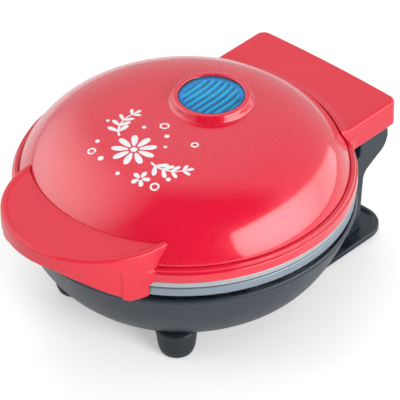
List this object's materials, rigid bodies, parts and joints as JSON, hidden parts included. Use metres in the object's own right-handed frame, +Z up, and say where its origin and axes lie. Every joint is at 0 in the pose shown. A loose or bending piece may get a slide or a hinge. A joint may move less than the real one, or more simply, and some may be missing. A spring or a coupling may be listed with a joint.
{
  "type": "mini waffle maker",
  "caption": "Round countertop waffle maker: domed lid on a rear hinge, half-round front handle, indicator lens on top, pegged cooking plates, bowl-shaped base on front feet and a rear stand.",
  "frame": {"origin": "centre of the whole outline in plan, at floor level under the pads", "axes": "+Z up, +Y from the front handle to the rear hinge block, +X to the right seen from the front"},
  "size_m": [0.127, 0.1604, 0.077],
  "materials": {
    "glossy_red": "glossy with a fine pearl fleck",
    "satin_red": "satin",
    "blue_lens": "clear tinted, ribbed inside",
    "grey_coating": "matte non-stick coating on cast aluminium",
    "charcoal": "fine satin",
    "rubber": "matte",
    "steel": "plain",
    "bright_sheet": "bright sheet",
    "ceramic": "glazed ceramic",
    "lamp_glass": "clear",
    "sleeve": "woven glass sleeve"
  },
  "bodies": {
    "base": {"base_shell": "charcoal", "cord_gland": "rubber", "foot_left": "charcoal", "foot_right": "charcoal", "foot_pad_left": "rubber", "foot_pad_right": "rubber", "foot_screw_left": "steel", "foot_screw_right": "steel", "hinge_pin_left": "steel", "hinge_pin_right": "steel", "lower_heat_shield": "bright_sheet", "lower_heating_element": "steel", "lower_leads": "sleeve", "lower_plate": "grey_coating", "lower_plate_screw_1": "steel", "lower_plate_screw_2": "steel", "lower_plate_screw_3": "steel", "rear_stand": "charcoal", "stand_pad_left": "rubber", "stand_pad_right": "rubber", "stand_screw_left": "steel", "stand_screw_right": "steel", "terminal_block": "ceramic", "thermal_fuse": "sleeve", "thermostat": "ceramic"},
    "lid": {"dome_cover": "glossy_red", "indicator_lens": "blue_lens", "lamp_holder": "ceramic", "lid_frame": "satin_red", "neon_lamp": "lamp_glass", "upper_heat_shield": "bright_sheet", "upper_heating_element": "steel", "upper_leads": "sleeve", "upper_plate": "grey_coating", "upper_plate_screw_1": "steel", "upper_plate_screw_2": "steel", "upper_plate_screw_3": "steel"}
  },
  "joints": [
    {"name": "lid_hinge", "type": "hinge", "parent": "base", "child": "lid", "pos_m": [0, 0.0717, 0.0395], "axis": [-1, 0, 0], "range_deg": [0, 100]}
  ]
}
